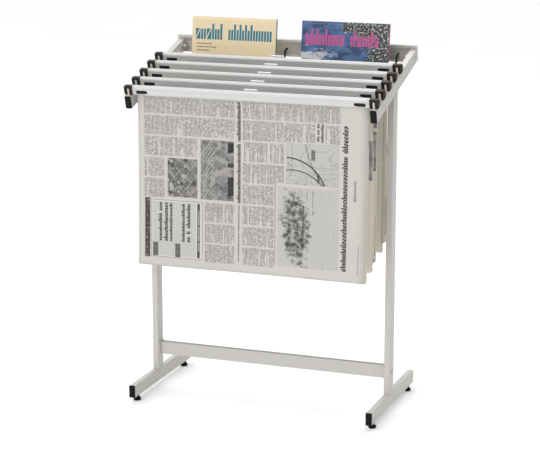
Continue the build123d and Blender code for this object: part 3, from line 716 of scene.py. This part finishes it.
def right_cover():
    """Magazine cover with a generic sea view: blue water, foam and dark rocks."""
    finish = Finish("right_magazine_cover", Coat_Weight=0.1, Coat_Roughness=0.3)
    across, up = finish.page()
    where = finish.join(across, up)
    swell = finish.noise(finish.scaled(where, 26.0, 60.0, 1.0), 1.0, 5.0, 0.65, 0.5)
    water = finish.mix(swell.smooth(0.3, 0.7), rgb(18, 46, 88), rgb(74, 110, 158))
    press = Press(finish, across, up, water)
    streaks = finish.noise(finish.scaled(where, 16.0, 70.0, 1.0), 1.0, 6.0, 0.7, 1.2)
    low = ~(abs(up - 0.212) / 0.03)
    west = (~(across / 0.16)).math("MAXIMUM", 0.0)
    foam = (streaks + low.math("MAXIMUM", 0.0) * west * 0.24).smooth(0.6, 0.68)
    press.shade(foam, rgb(206, 210, 212), 0.85)
    drift = finish.noise(where, 26.0, 4.0, 0.6) - 0.5
    rocks = (across + (up - 0.24) * 0.9 + drift * 0.16) > 0.152
    press.shade(rocks, rgb(30, 32, 28))
    speckle = finish.noise(where, 210.0, 4.0, 0.7)
    press.shade(rocks * speckle.smooth(0.53, 0.58), rgb(198, 202, 196), 0.85)
    press.shade(rocks * (speckle < 0.4), rgb(58, 66, 44), 0.6)
    press.title(*RIGHT_COVER_TITLE)
    press.shade(across.between(*SPINE), rgb(196, 92, 150))
    finish.link("Base Color", press.paper)
    finish.link("Roughness", finish.noise(where, 40.0, 3.0) * 0.12 + 0.26)
    finish.link("Normal", finish.bump(finish.noise(where, 60.0, 2.0), 0.1, 0.0004))
    return finish.material


def page_block():
    """The trimmed edges of a magazine's pages: fine layers across the thickness."""
    finish = Finish("page_edges", Specular_IOR_Level=0.3)
    across, through = finish.page()
    layers = finish.noise(finish.join(across * 8.0, through * 9000.0), 1.0, 2.0, 0.7)
    colour = finish.mix(layers.smooth(0.3, 0.7), rgb(196, 190, 178), rgb(236, 233, 226))
    finish.link("Base Color", colour)
    finish.link("Roughness", layers * 0.1 + 0.7)
    finish.link("Normal", finish.bump(layers, 0.5, 0.0002))
    return finish.material


# ================================================================ mesh helpers
def new_mesh(name, vertices, faces, smooth=True):
    mesh = bpy.data.meshes.new(name)
    mesh.from_pydata(vertices, [], faces)
    mesh.update()
    if smooth:
        mesh.polygons.foreach_set("use_smooth", [True] * len(mesh.polygons))
    piece = bpy.data.objects.new(name, mesh)
    bpy.context.scene.collection.objects.link(piece)
    return piece


def grid_faces(rows, columns, start=0):
    """Quads of a grid whose vertices go row by row, with columns + 1 in each row."""
    across = columns + 1
    faces = []
    for row in range(rows):
        for column in range(columns):
            corner = start + row * across + column
            faces.append((corner, corner + 1, corner + across + 1, corner + across))
    return faces


def map_sheet(piece, places):
    """Gives each vertex its place on the sheet, in metres, as a UV map."""
    layer = piece.data.uv_layers.new(name="sheet")
    for loop in piece.data.loops:
        layer.data[loop.index].uv = places[loop.vertex_index]


def thicken(piece, thickness, offset):
    solid = piece.modifiers.new("thickness", "SOLIDIFY")
    solid.thickness = thickness
    solid.offset = offset
    return solid


# ================================================================ newspapers
def clamp_line(number):
    """Centre of a holder's clamp hinge, in the YZ plane."""
    name = f"holder_{number}_clamp_open"
    joint = next(j for j in frame["joints"] if j["name"] == name)
    return Vector(joint["pos_m"])


def arm_slope():
    first = clamp_line(HOLDERS[0])
    last = clamp_line(HOLDERS[-1])
    return math.atan2(last.z - first.z, last.y - first.y)


def leaf_profile(index, length, slope, curl):
    """Points (y, z) down one leaf from its fold, relative to the back leaf's fold."""
    lean = SPREAD * (LEAVES - 1 - index) / (LEAVES - 1) - SPREAD_FRONT
    start = index * LEAF_PITCH
    y = -start * math.cos(slope)
    z = -start * math.sin(slope)
    step = length / LEAF_ROWS
    points = [(y, z)]
    for row in range(LEAF_ROWS):
        run = (row + 0.5) * step
        free = max(run - GRIP, 0.0)
        held = math.exp(-free / STRAIGHTEN)
        hang = lean - curl * (free / (length - GRIP)) ** CURL_POWER
        angle = slope * held + hang * (1 - held)
        y += step * math.sin(angle)
        z -= step * math.cos(angle)
        points.append((y, z))
    return points


def leaf_share(column):
    """How far across a leaf a column of its mesh stands, from 0 to 1."""
    if column <= LEFT_COLUMNS:
        return LEFT_PART * column / LEFT_COLUMNS
    return LEFT_PART + (1 - LEFT_PART) * (column - LEFT_COLUMNS) / RIGHT_COLUMNS


def make_newspaper(number, slope, pages):
    """A folded newspaper: leaves gripped at the fold, which hang and fan out a little."""
    node_name = f"holder_{number}_newspaper"
    low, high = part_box(node_name)
    chooser = random.Random(100 + number)
    left = low.x + SHIFT.get(number, 0.0)
    width = high.x - low.x
    phase = chooser.uniform(0, math.tau)
    curl = CURL * chooser.uniform(0.5, 1.2)
    fold = Vector((0, high.y - GRIP * math.sin(slope), high.z))
    vertices, faces, places, slots = [], [], [], []
    for index in range(LEAVES):
        start = len(vertices)
        ragged = chooser.uniform(0, RAGGED)
        aside = chooser.uniform(-0.5, 0.5) * RAGGED
        length = (fold.z - low.z) * DRAPE - ragged
        profile = leaf_profile(index, length, slope, curl)
        front = number == 1 and index == LEAVES - 1
        shift = 0 if front else PAGE_W * 3 * (number * LEAVES + index)
        for row, (y, z) in enumerate(profile):
            down = row / LEAF_ROWS
            for column in range(LEAF_COLUMNS + 1):
                share = leaf_share(column)
                wave = math.sin(math.tau * RIPPLES * share + phase) * RIPPLE * down ** 1.5
                x = left + share * width + aside + SWAY[number] * down ** 1.2
                vertices.append((x, fold.y + y + wave, fold.z + z))
                places.append((share * PAGE_W + shift, down * length - GRIP))
        faces += [face[::-1] for face in grid_faces(LEAF_ROWS, LEAF_COLUMNS, start)]
        row_slots = [INNER_PAGE] * LEAF_COLUMNS
        if front:
            row_slots = [LEFT_PAGE] * LEFT_COLUMNS + [RIGHT_PAGE] * RIGHT_COLUMNS
        slots += row_slots * LEAF_ROWS
    piece = new_mesh(f"newspaper_{number}", vertices, faces)
    map_sheet(piece, places)
    for page in pages:
        piece.data.materials.append(page)
    piece.data.polygons.foreach_set("material_index", slots)
    solid = thicken(piece, LEAF_T, 0.0)
    solid.material_offset = INNER_PAGE  # backs and rims wear the inner page
    solid.material_offset_rim = INNER_PAGE
    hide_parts(node_name)
    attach(piece, f"holder_{number}")


# ================================================================ magazines
def magazine_axes(side):
    """Axes on a magazine: across its cover, up it and out of its front."""
    joint = next(j for j in frame["joints"] if j["name"] == f"{side}_magazine_lift")
    up = Vector(joint["axis"]).normalized()
    across = Vector((1, 0, 0))
    return across, up, across.cross(up)


def magazine_frame(side):
    """Matrix whose origin is the lower left corner of the front cover."""
    low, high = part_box(f"{side}_magazine")
    across, up, out = magazine_axes(side)
    tilt = math.atan2(up.y, up.z)
    size_y = high.y - low.y
    size_z = high.z - low.z
    spread = math.cos(tilt) ** 2 - math.sin(tilt) ** 2
    height = (size_z * math.cos(tilt) - size_y * math.sin(tilt)) / spread
    thickness = (size_y * math.cos(tilt) - size_z * math.sin(tilt)) / spread
    corner = Vector((low.x, low.y, low.z + thickness * math.sin(tilt)))
    rotation = Matrix((across, up, out)).transposed().to_4x4()
    place = Matrix.Translation(corner) @ rotation
    return place, high.x - low.x, height, thickness


def cover_path(width, thickness):
    """Points (across, out) of the cover: front's free edge, round the spine, to the back's."""
    points = []
    for step in range(COVER_COLUMNS + 1):
        x = width * step / COVER_COLUMNS
        bow = COVER_BOW * (1 - x / width) ** 3
        from_crease = ((width - x) - COVER_CREASE) / COVER_CREASE_WIDTH
        points.append((x, bow - COVER_CREASE_DEPTH * math.exp(-(from_crease ** 2))))
    front = points[:-1] + [(width - SPINE_ROUND, 0.0)]
    spine_ends = (-SPINE_ROUND, -thickness / 2, -thickness + SPINE_ROUND)
    spine = [(width, out) for out in spine_ends]
    back = [(x, -thickness - (y if y < 0 else 0)) for x, y in reversed(front)]
    return front + spine + back


def make_cover(side, place, width, height, thickness, finish):
    path = cover_path(width, thickness)
    vertices, places = [], []
    run = [0.0]
    for before, after in zip(path, path[1:]):
        run.append(run[-1] + math.dist(before, after))
    for row in range(COVER_ROWS + 1):
        up = height * row / COVER_ROWS
        lift = COVER_SPLAY * (row / COVER_ROWS) ** 4
        for (x, out), along in zip(path, run):
            free = (1 - x / width) * (1 if out > -thickness / 2 else 0)
            vertices.append(place @ Vector((x, up, out + lift * free)))
            places.append((along, up))
    faces = grid_faces(COVER_ROWS, len(path) - 1)
    piece = new_mesh(f"{side}_magazine_cover", vertices, faces)
    map_sheet(piece, places)
    piece.data.materials.append(finish)
    thicken(piece, COVER_T, -1.0)
    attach(piece, f"{side}_magazine")
    return piece


def make_pages(side, place, width, height, thickness, finish):
    """The page block inside the cover, its trimmed edges slightly uneven."""
    chooser = random.Random(7 if side == "left" else 8)
    inner = thickness - 2 * COVER_T - 2 * PAGES_GAP
    vertices, places = [], []
    for sheet in range(PAGES_SHEETS + 1):
        out = -COVER_T - PAGES_GAP - inner * sheet / PAGES_SHEETS
        uneven = chooser.uniform(0, PAGES_UNEVEN)
        x0 = PAGES_INSET + uneven
        x1 = width - COVER_T - PAGES_GAP
        y0 = PAGES_INSET + chooser.uniform(0, PAGES_UNEVEN / 2)
        y1 = height - PAGES_INSET - uneven
        corners = ((x0, y0), (x1, y0), (x1, y1), (x0, y1))
        for corner, (x, y) in enumerate(corners):
            vertices.append(place @ Vector((x, y, out)))
            places.append((corner * 0.2, -out))
    faces = [(3, 2, 1, 0)]
    for sheet in range(PAGES_SHEETS):
        for corner in range(4):
            here = sheet * 4 + corner
            there = sheet * 4 + (corner + 1) % 4
            faces.append((here, there, there + 4, here + 4))
    last = PAGES_SHEETS * 4
    faces.append((last, last + 1, last + 2, last + 3))
    piece = new_mesh(f"{side}_magazine_pages", vertices, faces, smooth=False)
    map_sheet(piece, places)
    piece.data.materials.append(finish)
    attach(piece, f"{side}_magazine")
    return piece


def make_magazine(side, cover_finish, pages_finish):
    place, width, height, thickness = magazine_frame(side)
    cover = make_cover(side, place, width, height, thickness, cover_finish)
    make_pages(side, place, width, height, thickness, pages_finish)
    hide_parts(f"{side}_magazine")


# ================================================================ CAD finishes
def finish_cad_nodes():
    finishes = {
        "frame_paint": frame_paint(),
        "aluminium": aluminium(),
    }
    for name, colours, roughness in MOULDINGS:
        finishes[name] = moulded_plastic(name, *colours, roughness)
    finishes["zinc"] = zinc()
    finishes["black_wire"] = black_wire()
    for part in frame["nodes"].values():
        for slot in part.material_slots:
            if slot.material.name in finishes:
                slot.material = finishes[slot.material.name]


# ================================================================ studio
def make_floor():
    signs = ((-1, -1), (1, -1), (1, 1), (-1, 1))
    corners = [(x * FLOOR_REACH, y * FLOOR_REACH, 0) for x, y in signs]
    floor = new_mesh("studio_floor", corners, [(0, 1, 2, 3)], smooth=False)
    finish = Finish("pale_floor", Roughness=0.75, Specular_IOR_Level=0.2)
    tone = finish.noise(finish.place(), 3.0, 2.0)
    finish.link("Base Color", finish.mix(tone, rgb(248, 248, 248), rgb(252, 252, 252)))
    floor.data.materials.append(finish.material)


def area_light(name, at, aim, size, power):
    data = bpy.data.lights.new(name, "AREA")
    data.shape = "SQUARE"
    data.size = size
    data.energy = power
    lamp = bpy.data.objects.new(name, data)
    bpy.context.scene.collection.objects.link(lamp)
    lamp.location = at
    lamp.rotation_euler = (Vector(aim) - Vector(at)).to_track_quat("-Z", "Y").to_euler()


def make_lights():
    world = bpy.data.worlds.new("studio")
    world.use_nodes = True
    tree = world.node_tree
    towards = node(tree, "ShaderNodeTexCoord")
    parts = node(tree, "ShaderNodeSeparateXYZ", [towards]).socket.node.outputs
    brightness = Value(tree, parts["Z"]) * SKY_RISE - Value(tree, parts["X"]) * SKY_LEAN + SKY_LEVEL
    background = tree.nodes["Background"]
    background.inputs["Color"].default_value = (1.0, 1.0, 1.0, 1.0)
    tree.links.new(brightness.socket, background.inputs["Strength"])
    bpy.context.scene.world = world
    for lamp in LAMPS:
        area_light(*lamp)


def make_camera():
    data = bpy.data.cameras.new("camera")
    data.lens = LENS
    data.sensor_width = SENSOR_W
    data.clip_end = VIEW_REACH
    camera = bpy.data.objects.new("camera", data)
    bpy.context.scene.collection.objects.link(camera)
    flat = math.cos(VIEW_ELEVATION)
    level = Vector((math.sin(VIEW_AZIMUTH), -math.cos(VIEW_AZIMUTH), 0.0)) * flat
    back = level + Vector((0.0, 0.0, math.sin(VIEW_ELEVATION)))
    camera.location = VIEW_AIM + back * VIEW_DISTANCE
    camera.rotation_euler = (-back).to_track_quat("-Z", "Y").to_euler()
    bpy.context.scene.camera = camera


def make_all():
    finish_cad_nodes()
    slope = arm_slope()
    inner = inner_page()
    pages = (front_page_left(), front_page_right(), inner, inner)
    for number in HOLDERS:
        make_newspaper(number, slope, pages)
    edges = page_block()
    make_magazine("left", left_cover(), edges)
    make_magazine("right", right_cover(), edges)
    make_floor()
    make_lights()
    make_camera()
    bpy.context.scene.view_settings.view_transform = "Standard"


make_all()
